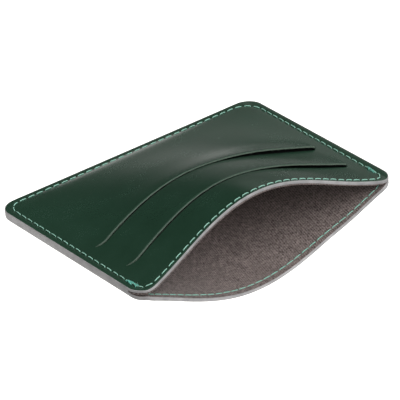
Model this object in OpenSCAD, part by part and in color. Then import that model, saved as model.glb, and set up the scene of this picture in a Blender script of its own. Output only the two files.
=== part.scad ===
// Card holder: two leather panels sewn together on three sides, lined, with two card slits
// across the front panel and a main pocket whose mouth is bowed open along the fourth side.
// It lies on its back: the closed edge and the belly of the back panel touch the surface.
// X runs along the closed edge, the mouth faces -Y, and Z is up.

/* [Panels] */
// Width along the closed edge
holder_w = 102; // [96:0.5:110]
// Depth from the closed edge to the mouth
holder_h = 75.5; // [70:0.5:84]
// Radius of the four corners
corner_r = 5.8; // [4:0.1:8]
// Width of the flat sewn margin
margin_w = 2.9; // [2.6:0.1:4.5]
// Thickness of the green leather
leather_t = 0.8; // [0.6:0.05:1.2]
// Thickness of the suede pocket lining
lining_t = 0.4; // [0.3:0.05:0.7]

/* [Opened pocket] */
// Rise of the front panel at the middle of the mouth
front_rise = 16.2; // [6:0.2:20]
// Share by which the front panel stands higher on its left half
front_lean = 0.24; // [0:0.02:0.3]
// Drop of the back panel at the middle of the mouth
back_drop = 16.6; // [6:0.2:20]
// Share by which the back panel hangs lower on its left half
back_lean = 0.2; // [0:0.02:0.3]
// How far the middle of the front edge draws back as it rises
front_recess = 1.9; // [0:0.1:4]
// How far the middle of the back edge draws back as it drops
back_recess = 2.5; // [0:0.1:5]
// How far the bowed panels draw each side in at the mouth
side_draw = 1.4; // [0:0.1:2]

/* [Card slits] */
// Distance from the closed edge to the first slit
slit_from_edge = 47.5; // [42:0.5:48]
// Distance from one slit to the next
slit_step = 15.5; // [12:0.5:16]
// Length of each slit, a little over the width of a bank card
slit_len = 87.5; // [86.5:0.5:89]
// Width of the cut between a slit's lip and the leather below it
slit_gap = 0.6; // [0.4:0.1:1]
// Height that the middle of a lip stands up
slit_lift = 0.9; // [0:0.1:1.5]
// How far the slits sit to the left of the middle
slit_shift = 1; // [0:0.1:1.5]
// How far the middle of a slit bows towards the closed edge
slit_bow = 7.6; // [0:0.2:8]
// Thickness of the fabric pocket behind each slit
slot_liner_t = 0.1; // [0.1:0.05:0.2]

/* [Stitching] */
// Distance from the closed and side edges to the stitches
stitch_inset = 2.25; // [1.8:0.05:2.6]
// Distance from the mouth's two edges to their stitches
mouth_inset = 1.6; // [1.4:0.05:2.4]
// Distance from one stitch to the next
stitch_pitch = 3.2; // [2.8:0.1:4]
// Diameter of the thread
thread_d = 0.45; // [0.3:0.05:0.5]
// Length of the doubled stitches at each end of the side seams
backtack_len = 8; // [6:0.5:12]

/* [Edge paint] */
// How far the rounded edge paint stands out
paint_t = 0.4; // [0.2:0.05:0.6]

/* [Hidden] */

leather_green = [0.13, 0.23, 0.18];
lining_taupe = [0.40, 0.36, 0.35];
liner_dark = [0.16, 0.17, 0.17];
thread_mint = [0.55, 0.82, 0.74];
paint_grey = [0.56, 0.57, 0.57];

ply_gap = 0.01;             // glue line between two plies
seat_gap = 0.02;            // clearance under a stitch and behind the paint
front_fullness = 0.59;      // 1 is a plain arch, 0 leaves the margin without a kink
back_fullness = 0.75;
front_growth = 1.19;        // how early the bulge grows on its way to the mouth, from 1
back_growth = 1.12;
lip_reach = 9;              // distance over which a lifted lip comes back down
corner_steps = 4;
slit_cols = 30;
end_cols = 4;
paint_sides = 7;
mouth_step = 2;             // spacing of the points along a bowed edge
stitch_len = 0.8 * stitch_pitch;

half_w = holder_w / 2;
bulge_half = half_w - margin_w;
front_t = leather_t + 2 * slot_liner_t + lining_t + 3 * ply_gap;
back_t = leather_t + lining_t + ply_gap;
seam_t = front_t + ply_gap + back_t;
slit_rows = [slit_from_edge, slit_from_edge + slit_step];

// ---- Bulged panel surfaces. x is across, v runs from the closed edge to the mouth ----

function fullness(t, k) = abs(t) >= 1 ? 0 : k * cos(90 * t) + (1 - k) * (1 + cos(180 * t)) / 2;
function depth_share(v) = max(0, (v - margin_w) / (holder_h - margin_w));
function growth(v, g) = let (t = depth_share(v)) g * t - (g - 1) * pow(t, 3);
function front_w(x, v) =
    let (t = x / bulge_half)
    front_rise * fullness(t, front_fullness) * (1 - front_lean * t) * growth(v, front_growth);
function back_w(x, v) =
    let (t = x / bulge_half)
    -front_t - ply_gap
    - back_drop * fullness(t, back_fullness) * (1 - back_lean * t) * growth(v, back_growth);

function unit(a) = a / norm(a);
function panel_point(front, x, v) =
    [x * (1 - side_draw * v / (half_w * holder_h)), -v, front ? front_w(x, v) : back_w(x, v)];
function up_normal(front, x, v) =
    let (e = 0.05)
    unit(cross(panel_point(front, x + e, v) - panel_point(front, x - e, v),
               panel_point(front, x, v - e) - panel_point(front, x, v + e)));
// Point a distance d above the surface, or below it where d is negative
function above(front, x, v, d) = panel_point(front, x, v) + d * up_normal(front, x, v);

// ---- Grid of a panel: rows run across it and columns run from closed edge to mouth ----

function corner_inset(v) =
    let (u = min(v, holder_h - v))
    u >= corner_r ? 0 : corner_r - sqrt(max(0, corner_r * corner_r - pow(corner_r - u, 2)));
corner_rows = [for (i = [0:corner_steps]) corner_r * (1 - cos(90 * i / corner_steps))];
mouth_corner_rows = [for (i = [corner_steps:-1:0]) holder_h - corner_rows[i]];
function between(a, b, n) = [for (i = [1:n - 1]) a + (b - a) * i / n];
front_rows = concat(
    corner_rows,
    between(corner_r, slit_rows[0] - slit_gap / 2, 8),
    [slit_rows[0] - slit_gap / 2, slit_rows[0] + slit_gap / 2],
    between(slit_rows[0] + slit_gap / 2, slit_rows[1] - slit_gap / 2, 4),
    [slit_rows[1] - slit_gap / 2, slit_rows[1] + slit_gap / 2],
    between(slit_rows[1] + slit_gap / 2, holder_h - corner_r, 3),
    mouth_corner_rows
);
first_lip = corner_steps + 8;
lip_rows = [first_lip, first_lip + 5];
back_rows = concat(corner_rows, between(corner_r, holder_h - corner_r, 10), mouth_corner_rows);

slit_left = -(slit_len / 2 + slit_shift) / half_w;
slit_right = (slit_len / 2 - slit_shift) / half_w;
cols = concat(
    [for (i = [0:end_cols - 1]) -1 + (slit_left + 1) * i / end_cols],
    [for (i = [0:slit_cols]) slit_left + (slit_right - slit_left) * i / slit_cols],
    [for (i = [end_cols - 1:-1:0]) 1 - (1 - slit_right) * i / end_cols]
);

function draw_back(x, v, bow, recess) =
    let (t = v / holder_h, dome = 1 - pow(x / half_w, 2))
    v - dome * (4 * bow * t * (1 - t) + recess * t * t);
function front_v(x, v) = draw_back(x, v, slit_bow, front_recess);
function back_v(x, v) = draw_back(x, v, 0, back_recess);

function lip_lift(x, j) =
    let (slit = j <= lip_rows[0] ? 0 : 1,
         distance = slit_rows[slit] - front_rows[j],
         end = max(0, 1 - pow(2 * (x + slit_shift) / slit_len, 2)))
    j > lip_rows[1] ? 0 : slit_lift * end * exp(-pow(distance / lip_reach, 2));
function is_slit(i, j) =
    i >= end_cols && i < end_cols + slit_cols && (j == lip_rows[0] || j == lip_rows[1]);

function grid(front, rows, d, lifted) = [
    for (j = [0:len(rows) - 1], c = cols)
        let (x = c * (half_w - corner_inset(rows[j])),
             v = front ? front_v(x, rows[j]) : back_v(x, rows[j]))
        above(front, x, v, d) + [0, 0, lifted ? lip_lift(x, j) : 0]
];

// A ply between two grids. Cells from row first to row last are there, apart from the slits.
module ply(upper, lower, rows, first, last, slits) {
    n = len(cols);
    size = len(upper);
    function there(i, j) =
        i >= 0 && i < n - 1 && j >= first && j < last && !(slits && is_slit(i, j));
    function wall(a, b) = [b, a, a + size, b + size];
    polyhedron(
        points = concat(upper, lower),
        faces = [
            for (j = [first:last - 1], i = [0:n - 2]) if (there(i, j))
                let (a = j * n + i, b = a + 1, c = b + n, d = a + n)
                each [
                    [a, b, c, d],
                    [d + size, c + size, b + size, a + size],
                    if (!there(i, j - 1)) wall(a, b),
                    if (!there(i + 1, j)) wall(b, c),
                    if (!there(i, j + 1)) wall(c, d),
                    if (!there(i - 1, j)) wall(d, a)
                ]
        ],
        convexity = 12
    );
}

module front_ply(top, thickness, first, last, slits) {
    ply(grid(true, front_rows, -top, slits), grid(true, front_rows, -top - thickness, slits),
        front_rows, first, last, slits);
}

module back_ply(top, thickness) {
    ply(grid(false, back_rows, -top, false), grid(false, back_rows, -top - thickness, false),
        back_rows, 0, len(back_rows) - 1, false);
}

// ---- Routes along the edge, as points [x, v]. inset is the distance in from the edge ----

function arc(cx, cv, r, a0, a1) = [
    for (i = [0:corner_steps]) let (a = a0 + (a1 - a0) * i / corner_steps)
        [cx + r * cos(a), cv - r * sin(a)]
];
function run(a, b, step) =
    let (n = ceil(norm(b - a) / step))
    [for (i = [1:1:n - 1]) a + (b - a) * i / n];
// Up the left side from v, round the closed edge and down the right side
function sides_route(inset, v) =
    let (x = half_w - inset, cx = half_w - corner_r, r = corner_r - inset,
         left = arc(-cx, corner_r, r, 180, 90), right = arc(cx, corner_r, r, 90, 0))
    concat([[-x, v]], left, right, [[x, v]]);
// Down the left side from v, along the mouth and up the right side
function mouth_route(inset, v) =
    let (x = half_w - inset, cx = half_w - corner_r, r = corner_r - inset,
         cv = holder_h - corner_r,
         left = arc(-cx, cv, r, 180, 270), right = arc(cx, cv, r, 270, 360))
    concat([[-x, v]], run([-x, v], left[0], mouth_step), left,
           run(left[corner_steps], right[0], mouth_step), right,
           run(right[corner_steps], [x, v], mouth_step), [[x, v]]);
// The mouth's edge draws back with the bulged panel
function drawn(front, route) = [
    for (p = route)
        let (t = p[1] / holder_h, dome = 1 - pow(p[0] / half_w, 2))
        [p[0], p[1] - dome * (front ? front_recess : back_recess) * t * t]
];

// ---- Stitches ----

function lengths(line) = [
    for (i = 0, s = 0; i < len(line); s = s + (i + 1 < len(line) ? norm(line[i + 1] - line[i]) : 0),
         i = i + 1) s
];
function at_length(line, s, along) = [
    for (axis = [0:2]) lookup(along, [for (i = [0:len(line) - 1]) [s[i], line[i][axis]]])
];

module stitch(a, b) {
    d = b - a;
    translate(a)
        rotate([0, acos(d[2] / norm(d)), atan2(d[1], d[0])])
            cylinder(h = norm(d), d = thread_d, $fn = 16);
}

// A row of equal stitches along a line of points
module stitches(line) {
    s = lengths(line);
    total = s[len(s) - 1];
    count = round(total / stitch_pitch);
    pitch = total / count;
    for (i = [0:count - 1])
        stitch(at_length(line, s, (i + 0.5) * pitch - stitch_len / 2),
               at_length(line, s, (i + 0.5) * pitch + stitch_len / 2));
}

function thread_line(front, route, d) = [for (p = route) above(front, p[0], p[1], d)];
thread_seat = thread_d / 2 + seat_gap;
seam_end = holder_h - corner_r;

// Doubled stitches that lock the two ends of a side seam, riding on the row below them
module backtacks(front, d) {
    for (side = [-1, 1])
        stitches(thread_line(front, [
            for (i = [0:4]) [side * (half_w - stitch_inset), seam_end - backtack_len * i / 4]
        ], d));
}

// ---- Edge paint: a rounded bead swept along an edge ----

// The bead's section, as [distance out of the edge, share of the edge's thickness]
bead = [
    for (i = [0:paint_sides]) let (a = 180 * i / paint_sides)
        [seat_gap + paint_t * sin(a), (1 - cos(a)) / 2]
];

module edge_bead(front, route, top, thickness) {
    n = len(route);
    m = len(bead);
    function ring(i) =
        let (p = route[i],
             a = route[max(0, i - 1)],
             b = route[min(n - 1, i + 1)],
             normal = up_normal(front, p[0], p[1]),
             along = unit(panel_point(front, b[0], b[1]) - panel_point(front, a[0], a[1])),
             out = unit(cross(along, normal)),
             side = out * [p[0], -p[1] + holder_h / 2, 0] > 0 ? 1 : -1)
        [for (q = bead) above(front, p[0], p[1], -top - q[1] * thickness) + side * q[0] * out];
    points = [for (i = [0:n - 1]) each ring(i)];
    turn = cross(points[m] - points[0], points[m - 1] - points[0])
        * (points[floor(m / 2)] - (points[0] + points[m - 1]) / 2);
    faces = concat(
        [[for (k = [0:m - 1]) k]],
        [for (i = [0:n - 2], k = [0:m - 1])
            let (a = i * m + k, b = i * m + (k + 1) % m) [b, a, a + m, b + m]],
        [[for (k = [m - 1:-1:0]) (n - 1) * m + k]]
    );
    polyhedron(
        points = points,
        faces = turn > 0 ? [for (f = faces) [for (k = [len(f) - 1:-1:0]) f[k]]] : faces,
        convexity = 6
    );
}

// ---- How it lies: closed edge and belly on the surface, origin below its middle ----

belly = grid(false, back_rows, -back_t, false);
rest_tilt = max([for (p = belly) if (p[1] < -margin_w) atan2(-seam_t - p[2], -p[1])]);
function laid_z(p) = p[2] * cos(rest_tilt) - p[1] * sin(rest_tilt);
function laid_y(p) = p[1] * cos(rest_tilt) + p[2] * sin(rest_tilt);
floor_z = min(laid_z([0, 0, -seam_t]), min([for (p = belly) laid_z(p)]));
back_y = laid_y([0, paint_t + seat_gap, -leather_t]);
mouth_y = laid_y(above(false, 0, back_v(0, holder_h) + paint_t + seat_gap, -back_t / 2));

module laid() {
    translate([0, -(back_y + mouth_y) / 2, -floor_z])
        rotate([-rest_tilt, 0, 0])
            children();
}

// ---- Sub-parts ----

module front_leather() {
    color(leather_green) laid()
        front_ply(0, leather_t, 0, len(front_rows) - 1, true);
}

module back_leather() {
    color(leather_green) laid()
        back_ply(lining_t + ply_gap, leather_t);
}

module front_lining() {
    color(lining_taupe) laid()
        front_ply(front_t - lining_t, lining_t, 0, len(front_rows) - 1, false);
}

module back_lining() {
    color(lining_taupe) laid()
        back_ply(0, lining_t);
}

// Fabric pockets behind the slits, each glued under the leather on the mouth side of its slit
module upper_slot_liner() {
    color(liner_dark) laid()
        front_ply(leather_t + ply_gap, slot_liner_t, 2, lip_rows[0] + 3, false);
}

module lower_slot_liner() {
    color(liner_dark) laid()
        front_ply(leather_t + slot_liner_t + 2 * ply_gap, slot_liner_t, corner_steps + 1,
                  lip_rows[1] + 3, false);
}

module perimeter_needle_thread() {
    color(thread_mint) laid() {
        stitches(thread_line(true, sides_route(stitch_inset, seam_end), thread_seat));
        backtacks(true, thread_seat + 1.1 * thread_d);
    }
}

module perimeter_bobbin_thread() {
    color(thread_mint) laid()
        stitches(thread_line(false, sides_route(stitch_inset, seam_end), -back_t - thread_seat));
}

module front_mouth_needle_thread() {
    color(thread_mint) laid()
        stitches(thread_line(true, drawn(true, mouth_route(mouth_inset, seam_end + 1)),
                             thread_seat));
}

module front_mouth_bobbin_thread() {
    color(thread_mint) laid()
        stitches(thread_line(true, drawn(true, mouth_route(mouth_inset, holder_h - corner_r)),
                             -front_t - thread_seat));
}

module back_mouth_needle_thread() {
    color(thread_mint) laid()
        stitches(thread_line(false, drawn(false, mouth_route(mouth_inset, holder_h - corner_r)),
                             -back_t - thread_seat));
}

module back_mouth_bobbin_thread() {
    color(thread_mint) laid()
        stitches(thread_line(false, drawn(false, mouth_route(mouth_inset, holder_h - corner_r)),
                             thread_seat));
}

module perimeter_edge_paint() {
    color(paint_grey) laid()
        edge_bead(true, sides_route(0, holder_h - corner_r), 0, seam_t);
}

module front_mouth_edge_paint() {
    color(paint_grey) laid()
        edge_bead(true, drawn(true, mouth_route(0, holder_h - 0.9 * corner_r)), 0, front_t);
}

module back_mouth_edge_paint() {
    color(paint_grey) laid()
        edge_bead(false, drawn(false, mouth_route(0, holder_h - 0.9 * corner_r)), 0, back_t);
}

front_leather();
back_leather();
front_lining();
back_lining();
upper_slot_liner();
lower_slot_liner();
perimeter_needle_thread();
perimeter_bobbin_thread();
front_mouth_needle_thread();
front_mouth_bobbin_thread();
back_mouth_needle_thread();
back_mouth_bobbin_thread();
perimeter_edge_paint();
front_mouth_edge_paint();
back_mouth_edge_paint();
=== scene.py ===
import math

import bpy
import numpy as np
from mathutils import Matrix, Vector


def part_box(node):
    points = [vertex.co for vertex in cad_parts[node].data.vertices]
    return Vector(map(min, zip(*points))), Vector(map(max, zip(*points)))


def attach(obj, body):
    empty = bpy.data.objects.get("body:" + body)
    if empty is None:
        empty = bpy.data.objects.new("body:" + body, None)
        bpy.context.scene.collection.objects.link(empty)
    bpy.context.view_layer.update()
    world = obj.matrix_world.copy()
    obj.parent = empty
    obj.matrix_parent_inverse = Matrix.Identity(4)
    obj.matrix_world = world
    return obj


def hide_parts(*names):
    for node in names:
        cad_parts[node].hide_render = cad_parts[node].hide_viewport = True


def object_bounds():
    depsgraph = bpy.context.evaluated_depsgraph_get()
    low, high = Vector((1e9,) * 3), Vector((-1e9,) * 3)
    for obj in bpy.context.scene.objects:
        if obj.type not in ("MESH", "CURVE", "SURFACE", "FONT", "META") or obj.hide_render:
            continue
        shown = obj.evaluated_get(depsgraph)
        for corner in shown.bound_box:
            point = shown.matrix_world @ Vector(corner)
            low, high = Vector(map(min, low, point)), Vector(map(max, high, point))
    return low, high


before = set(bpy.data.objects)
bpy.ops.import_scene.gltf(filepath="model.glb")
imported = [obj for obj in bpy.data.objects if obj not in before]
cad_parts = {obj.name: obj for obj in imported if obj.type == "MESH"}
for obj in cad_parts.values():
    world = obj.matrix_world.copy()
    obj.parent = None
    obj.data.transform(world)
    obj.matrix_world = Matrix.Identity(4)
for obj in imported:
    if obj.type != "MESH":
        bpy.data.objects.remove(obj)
cad_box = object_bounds()
cad_centre = (cad_box[0] + cad_box[1]) / 2

# ---- Driving dimensions in millimetres, the same as the CAD model's ----

MM = 0.001
HOLDER_W = 102.0
HOLDER_H = 75.5
CORNER_R = 5.8
MARGIN_W = 2.9
LEATHER_T = 0.8
LINING_T = 0.4
LINER_T = 0.1
PLY_GAP = 0.01
FRONT_RISE, FRONT_LEAN, FRONT_FULLNESS, FRONT_GROWTH = 16.2, 0.24, 0.59, 1.19
BACK_DROP, BACK_LEAN, BACK_FULLNESS, BACK_GROWTH = 16.6, 0.2, 0.75, 1.12
FRONT_RECESS, BACK_RECESS, SIDE_DRAW = 1.9, 2.5, 1.4
SLIT_ROWS = (47.5, 63.0)
SLIT_GAP, SLIT_BOW = 0.6, 7.6
STITCH_INSET, STITCH_PITCH = 2.25, 3.2

# ---- Dimensions in millimetres that follow the photo more closely than the CAD model's ----

SLIT_LEN, SLIT_SHIFT = 88.5, 0.5        # the slits' middle lies this far to the left
MOUTH_INSET, BACK_MOUTH_INSET = 1.2, 2.0
BACKTACK_LEN = 6.0
SEAM_CORNERS = (4.6, 7.4)               # radii of the left and right turns by the closed edge
LEFT_START = 1.0                        # the left seam starts this much nearer the mouth
RIGHT_DRIFT = 0.6                       # the right seam wanders inwards towards the mouth
CORNER_PART, PART_REACH = 0.5, 7.0      # the panels part at the mouth's left corner
BACK_PART_SHARE = 0.6
BELLY, BELLY_FROM = 0.7, 20.0           # the back hangs a little fuller on the right

# ---- What follows from them ----

HALF_W = HOLDER_W / 2
BULGE_HALF = HALF_W - MARGIN_W
FRONT_T = LEATHER_T + 2 * LINER_T + LINING_T + 3 * PLY_GAP
BACK_T = LEATHER_T + LINING_T + PLY_GAP
SEAM_T = FRONT_T + PLY_GAP + BACK_T
SEAM_END = HOLDER_H - CORNER_R
SPLIT_V = HOLDER_H - 1.25 * CORNER_R   # the two panels are separate from here to the mouth

# ---- Shape of the bowed panels ----


def fullness(t, k):
    """1 in the middle and 0 at the seams. A larger k keeps the bow round up to the seams."""
    t = np.clip(np.abs(t), 0, 1)
    return k * np.cos(t * math.pi / 2) + (1 - k) * (1 + np.cos(t * math.pi)) / 2


def growth(v, g):
    """How the bow grows from the closed edge to the mouth, where it is 1."""
    t = np.maximum(0, (v - MARGIN_W) / (HOLDER_H - MARGIN_W))
    return g * t - (g - 1) * t**3


def parting(x, v):
    """The two panels stand a little apart at the mouth's left corner, past the seam."""
    t = np.clip((v - SPLIT_V) / CORNER_R, 0, 1)
    return CORNER_PART * t * t * (3 - 2 * t) * np.exp(-(((HALF_W + x) / PART_REACH) ** 2))


def front_w(x, v):
    """Height of the front panel's outer face over the seam's plane."""
    t = x / BULGE_HALF
    rise = FRONT_RISE * fullness(t, FRONT_FULLNESS) * (1 - FRONT_LEAN * t) * growth(v, FRONT_GROWTH)
    return rise + parting(x, v)


def back_w(x, v):
    """Height of the back panel's inner face over the seam's plane."""
    t = x / BULGE_HALF
    drop = BACK_DROP * fullness(t, BACK_FULLNESS) * (1 - BACK_LEAN * t) * growth(v, BACK_GROWTH)
    right_share = np.clip((x - BELLY_FROM) / (BULGE_HALF - BELLY_FROM), 0, 1)
    belly = BELLY * np.sin(right_share * math.pi) ** 2 * np.clip(v / HOLDER_H, 0, 1) ** 2
    return -FRONT_T - PLY_GAP - drop - belly - BACK_PART_SHARE * parting(x, v)


def panel_point(front, x, v):
    """Where a panel's place x across and v from the closed edge lies in space."""
    x, v = np.broadcast_arrays(np.asarray(x, float), np.asarray(v, float))
    w = front_w(x, v) if front else back_w(x, v)
    return np.stack([x * (1 - SIDE_DRAW * v / (HALF_W * HOLDER_H)), -v, w], -1)


def unit(a):
    """Vectors made one long."""
    return a / np.maximum(np.linalg.norm(a, axis=-1, keepdims=True), 1e-12)


def up_normal(front, x, v):
    """The direction that stands up from a panel."""
    near = 0.05
    across = panel_point(front, x + near, v) - panel_point(front, x - near, v)
    along = panel_point(front, x, v - near) - panel_point(front, x, v + near)
    return unit(np.cross(across, along))


def above(front, x, v, d):
    """Points a distance d above a panel's reference surface."""
    return panel_point(front, x, v) + np.asarray(d)[..., None] * up_normal(front, x, v)


def dome(x):
    """1 in the middle and 0 at the two sides."""
    return 1 - (x / HALF_W) ** 2


def drawn_v(front, x, v):
    """Where the line that was at depth v before the panel bowed lies now."""
    t = v / HOLDER_H
    bow, recess = (SLIT_BOW, FRONT_RECESS) if front else (0, BACK_RECESS)
    return v - dome(x) * (4 * bow * t * (1 - t) + recess * t * t)


def corner_inset(v):
    """How much a rounded corner takes off each side at depth v."""
    u = np.minimum(v, HOLDER_H - v)
    inside = np.sqrt(np.maximum(0, CORNER_R**2 - (CORNER_R - u) ** 2))
    return np.where(u >= CORNER_R, 0, CORNER_R - inside)


def edge_distance(front, x, v):
    """Distance of a point on a bowed panel from the panel's rounded outline."""
    v = v + dome(x) * (FRONT_RECESS if front else BACK_RECESS) * (v / HOLDER_H) ** 2
    qx = np.abs(x) - (HALF_W - CORNER_R)
    qv = np.abs(v - HOLDER_H / 2) - (HOLDER_H / 2 - CORNER_R)
    out = np.hypot(np.maximum(qx, 0), np.maximum(qv, 0))
    return CORNER_R - out - np.minimum(np.maximum(qx, qv), 0)


# ---- How it lies: the closed edge and the belly of the back panel touch the floor ----

belly_x, belly_v = np.meshgrid(np.linspace(-HALF_W, HALF_W, 103), np.linspace(1, HOLDER_H, 76))
belly = above(False, belly_x, drawn_v(False, belly_x, belly_v), -BACK_T).reshape(-1, 3)
belly = belly[belly[:, 1] < -MARGIN_W]
REST_TILT = float(np.max(np.arctan2(-SEAM_T - belly[:, 2], -belly[:, 1])))
COS_TILT, SIN_TILT = math.cos(REST_TILT), math.sin(REST_TILT)
FLOOR_Z = float(min(-SEAM_T * COS_TILT, np.min(belly[:, 2] * COS_TILT - belly[:, 1] * SIN_TILT)))
SHIFT_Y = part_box("front_leather")[1].y / MM


def laid(p):
    """From millimetres over the seam's plane to the CAD model's frame in metres."""
    x, y, z = p[..., 0], p[..., 1], p[..., 2]
    y, z = y * COS_TILT + z * SIN_TILT + SHIFT_Y, z * COS_TILT - y * SIN_TILT - FLOOR_Z
    return np.stack([x, y, z], -1) * MM


# ---- Mesh helpers ----

SHARP_ANGLE = math.radians(50)


def new_piece(name, points, faces, materials, node=None, face_material=None, uv=None,
              values=None):
    """A mesh piece that rides on the body. points are over the seam's plane, in millimetres."""
    mesh = bpy.data.meshes.new(name)
    mesh.from_pydata(laid(np.asarray(points)).tolist(), [], faces)
    for m in materials:
        mesh.materials.append(m)
    if face_material is not None:
        mesh.polygons.foreach_set("material_index", np.asarray(face_material, np.int32))
    if uv is not None:
        loops = np.zeros(len(mesh.loops), np.int32)
        mesh.loops.foreach_get("vertex_index", loops)
        mesh.uv_layers.new(name="UVMap").data.foreach_set("uv", np.asarray(uv)[loops].ravel())
    for key, data in (values or {}).items():
        attribute = mesh.attributes.new(key, "FLOAT", "POINT")
        attribute.data.foreach_set("value", np.asarray(data, np.float32).ravel())
    mesh.polygons.foreach_set("use_smooth", np.ones(len(mesh.polygons), bool))
    mesh.set_sharp_from_angle(angle=SHARP_ANGLE)
    mesh.validate()
    piece = bpy.data.objects.new(name, mesh)
    bpy.context.scene.collection.objects.link(piece)
    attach(piece, "root")
    if node:
        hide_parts(node)
    return piece


def filled(marks, step):
    """The marks in order, with points between them no further apart than step."""
    marks = sorted(set(round(m, 4) for m in marks))
    lines = [marks[0]]
    for a, b in zip(marks, marks[1:]):
        n = max(1, math.ceil((b - a) / step))
        lines += [a + (b - a) * i / n for i in range(1, n + 1)]
    return np.array(lines)


# Distances from corners, edges and slits at which a panel's mesh has a line of its own.
CORNER_LINES = [CORNER_R * (1 - math.cos(math.radians(a))) for a in range(0, 91, 6)]
EDGE_LINES = (0, 0.08, 0.2, 0.4, 0.7, 1.1)
LIP_LINES = (0, 0.07, 0.18, 0.4, 0.8)


def panel_rows(step, slits):
    """Depths of a panel's mesh lines, before the panel is bowed."""
    marks = CORNER_LINES + [HOLDER_H - line for line in CORNER_LINES]
    for row in SLIT_ROWS if slits else ():
        marks += [row - SLIT_GAP / 2 - d for d in LIP_LINES]
        marks += [row + SLIT_GAP / 2 + d for d in LIP_LINES]
    return filled(marks, step)


def panel_cols(step):
    """Places of a panel's mesh lines across it, from -1 to 1."""
    marks = [side * (1 - d / HALF_W) for side in (-1, 1) for d in EDGE_LINES]
    marks += [(side * SLIT_LEN / 2 - SLIT_SHIFT) / HALF_W for side in (-1, 1)]
    return filled(marks, step / HALF_W)


# ---- Slits: a raised, skived lip with rounded ends over the leather below it ----

LIP_LIFT_LEFT, LIP_LIFT_RIGHT = 0.35, 1.3
LIP_TALLNESS = (1, 0.8)                # the slit nearer the mouth stands a little lower
LIP_REACH = 7.0                        # the leather is raised this far from the lip
LIFT_TURN = 30.0                       # the left lift turns into the right one up to here
LIP_SINK, LIP_SINK_REACH = 0.12, 3.0   # the leather below the lip is pressed down
LIP_SKIVE, LIP_SKIVE_REACH = 0.35, 2.5
LIP_DROOP, LIP_DROOP_REACH = 0.08, 0.12
END_POWER_LEFT, END_POWER_RIGHT = 10, 60   # how sharply a lip ends at the cut itself
END_POWER_SOFT = 8                     # and away from the cut
CUT_REACH = 1.4                        # distance over which the one turns into the other
RAG_COARSE, RAG_FINE, RAG_REACH = 0.035, 0.03, 0.3
HOOK_LEFT, HOOK_RIGHT = 4.2, 1.6       # lengths of the rounded ends of a lip
HOOK_DEPTH = 1.7                       # how far they turn towards the closed edge
HOOK_REACH, HOOK_FADE = 4.5, 2.5       # how far the turn is felt, across and beyond the slit
CLOSED_LEFT, CLOSED_RIGHT = 0.1, 0.0   # share of the cut's width that is closed
CLOSED_RIGHT_FROM = 20
TOUCH, TOUCH_X, TOUCH_REACH = 0.5, 12, 9   # it is closed further round this place
CLOSING_REACH, CLOSING_MOST = 2.4, 0.85


def slit_share(x):
    """-1 at a slit's left end and 1 at its right end."""
    return (x + SLIT_SHIFT) / (SLIT_LEN / 2)


def lip_profile(x):
    """1 along a slit, falling to 0 at its ends."""
    t = slit_share(x)
    return np.clip(1 - np.abs(t) ** np.where(t > 0, END_POWER_RIGHT, END_POWER_LEFT), 0, 1)


def lip_lift(x, v):
    """How far the leather stands up on the closed-edge side of each slit."""
    share = np.clip(x / LIFT_TURN, 0, 1)
    amount = LIP_LIFT_LEFT + (LIP_LIFT_RIGHT - LIP_LIFT_LEFT) * share**2 * (3 - 2 * share)
    soft_end = np.clip(1 - np.abs(slit_share(x)) ** END_POWER_SOFT, 0, 1)
    total = np.zeros_like(x)
    for row, tallness in zip(SLIT_ROWS, LIP_TALLNESS):
        at_cut = np.exp(-(((row - v) / CUT_REACH) ** 2))
        ends = lip_profile(x) * at_cut + soft_end * (1 - at_cut)
        up = amount * tallness * ends * np.exp(-(((row - v) / LIP_REACH) ** 2))
        down = -LIP_SINK * lip_profile(x) * np.exp(-(((row - v) / LIP_SINK_REACH) ** 2))
        total += np.where(v <= row, up, down)
    return total


def lip_skive(x, v):
    """How much the leather is pared away under each lip."""
    total = np.zeros_like(x)
    for row in SLIT_ROWS:
        cut = LIP_SKIVE * lip_profile(x) * np.exp(-(((row - v) / LIP_SKIVE_REACH) ** 2))
        total += np.where(v <= row, cut, 0)
    return total


def lip_droop(x, v):
    """How much the outer face rounds off at both sides of each cut."""
    total = np.zeros_like(x)
    for row in SLIT_ROWS:
        away = np.maximum(np.abs(v - row) - SLIT_GAP / 2, 0)
        total += LIP_DROOP * lip_profile(x) * np.exp(-away / LIP_DROOP_REACH)
    return total


def ragged(x, row):
    """Fine unevenness of a knife-cut edge."""
    wave = np.sin(x * 2.9 + row) * np.sin(x * 1.7 + 2 * row) + np.sin(x * 6.1 + 3 * row) * 0.6
    return RAG_COARSE * wave + RAG_FINE * np.sin(x * 11.3 + row)


def hooked(x, v):
    """Rows near a slit turn towards the closed edge at the slit's two ends, and close its gap."""
    reach = np.where(x > 0, HOOK_RIGHT, HOOK_LEFT)
    beyond = np.abs(x + SLIT_SHIFT) - (SLIT_LEN / 2 - reach)
    fade = np.exp(-((np.maximum(beyond - reach, 0) / HOOK_FADE) ** 2))
    turn = np.clip(beyond / reach, 0, 1) ** 2 * fade
    at_end = np.clip(np.abs(slit_share(x)), 0, 1) ** END_POWER_RIGHT
    along = np.where(x > CLOSED_RIGHT_FROM, CLOSED_RIGHT, CLOSED_LEFT)
    along = along + TOUCH * np.exp(-(((x - TOUCH_X) / TOUCH_REACH) ** 2))
    closing = CLOSING_MOST * np.maximum(at_end, along)
    moved = v.copy()
    for row in SLIT_ROWS:
        d = v - row
        moved = moved - HOOK_DEPTH * turn * np.exp(-((d / HOOK_REACH) ** 2))
        at_lip = np.exp(-(((d + SLIT_GAP / 2) / RAG_REACH) ** 2)) * (d < 0)
        moved = moved + ragged(x, row) * at_lip
        near = np.clip(CLOSING_REACH - np.abs(d), 0, 1)
        moved = moved - np.clip(d, -SLIT_GAP / 2, SLIT_GAP / 2) * closing * near
    return moved


# ---- Routes of the seams and edges, as points [x, v] ----

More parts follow.
